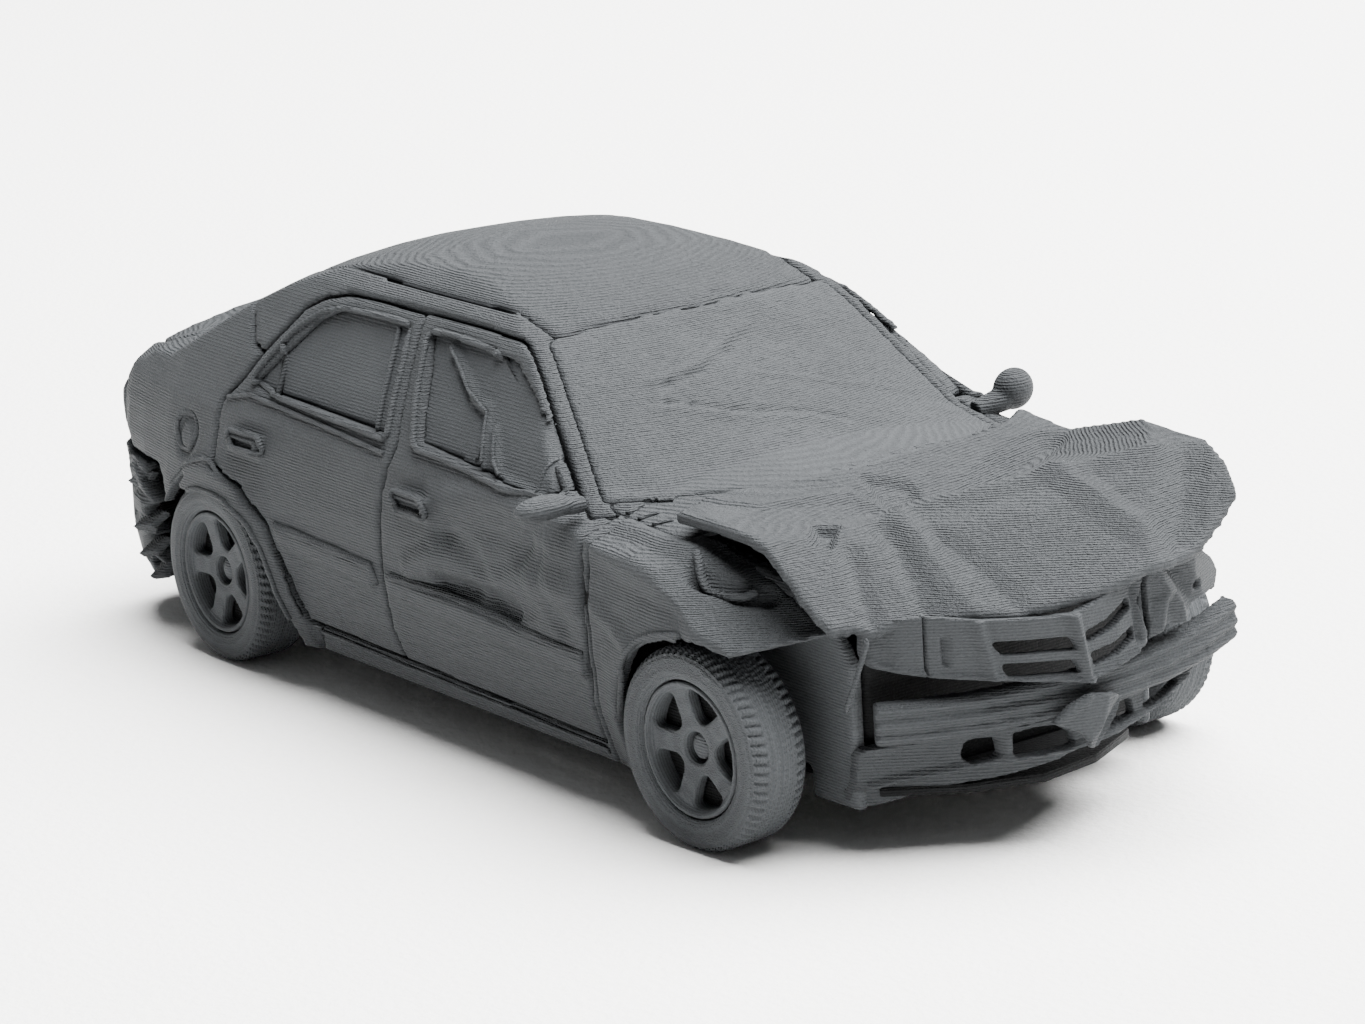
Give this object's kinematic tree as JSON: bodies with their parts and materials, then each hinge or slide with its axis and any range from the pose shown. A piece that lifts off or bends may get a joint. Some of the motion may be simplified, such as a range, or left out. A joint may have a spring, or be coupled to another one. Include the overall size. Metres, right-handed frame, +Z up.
{
  "type": "crashed car scale model",
  "caption": "Small grey printed display model of a crashed four-door saloon with a crumpled front and free-turning wheels.",
  "frame": {"origin": "on the ground under the middle of the model's box", "axes": "+X to the front of the car, +Y to the car's left, +Z up"},
  "size_m": [0.1014, 0.0468, 0.0325],
  "materials": {
    "body_print": "matte layered print",
    "pane_print": "matte layered print",
    "tyre_print": "matte layered print",
    "rim_print": "matte layered print",
    "underside_print": "matte layered print"
  },
  "bodies": {
    "root": {"door_front_right": "body_print", "pane_front_right": "pane_print", "door_rear_right": "body_print", "pane_rear_right": "pane_print", "door_front_left": "body_print", "pane_front_left": "pane_print", "door_rear_left": "body_print", "pane_rear_left": "pane_print", "side_frame_right": "body_print", "side_frame_left": "body_print", "roof": "body_print", "windscreen": "pane_print", "rear_window": "pane_print", "quarter_panel_right": "body_print", "tail_lamp_right": "body_print", "quarter_panel_left": "body_print", "tail_lamp_left": "body_print", "boot_lid": "body_print", "tail_panel": "body_print", "rear_bumper": "body_print", "bonnet": "body_print", "cowl_panel": "body_print", "fender_right": "body_print", "fender_left": "body_print", "bumper_bar": "body_print", "bumper_cover": "body_print", "bumper_flap": "body_print", "grille_panel": "body_print", "headlamp_right": "body_print", "headlamp_left": "body_print", "inner_wing_right": "underside_print", "inner_wing_left": "underside_print", "radiator_panel": "underside_print", "bulkhead": "underside_print", "floor_pan": "underside_print", "lamp_strut": "body_print", "mirror_right": "body_print", "mirror_left": "body_print", "rear_axle": "underside_print", "front_axle": "underside_print", "knuckle_right": "underside_print", "knuckle_left": "underside_print"},
    "wheel_front_right": {"tyre_front_right": "tyre_print", "rim_front_right": "rim_print"},
    "wheel_front_left": {"tyre_front_left": "tyre_print", "rim_front_left": "rim_print"},
    "wheel_rear_right": {"tyre_rear_right": "tyre_print", "rim_rear_right": "rim_print"},
    "wheel_rear_left": {"tyre_rear_left": "tyre_print", "rim_rear_left": "rim_print"}
  },
  "joints": [
    {"name": "spin_front_right", "type": "hinge", "parent": "root", "child": "wheel_front_right", "pos_m": [0.03093, -0.0179, 0.0071], "axis": [-0.0698, 0.9976, 0], "continuous": true},
    {"name": "spin_front_left", "type": "hinge", "parent": "root", "child": "wheel_front_left", "pos_m": [0.03093, 0.0183, 0.0071], "axis": [-0.0698, 0.9976, 0], "continuous": true},
    {"name": "spin_rear_right", "type": "hinge", "parent": "root", "child": "wheel_rear_right", "pos_m": [-0.03037, -0.0179, 0.0071], "axis": [0, 1, 0], "continuous": true},
    {"name": "spin_rear_left", "type": "hinge", "parent": "root", "child": "wheel_rear_left", "pos_m": [-0.03037, 0.0183, 0.0071], "axis": [0, 1, 0], "continuous": true}
  ]
}
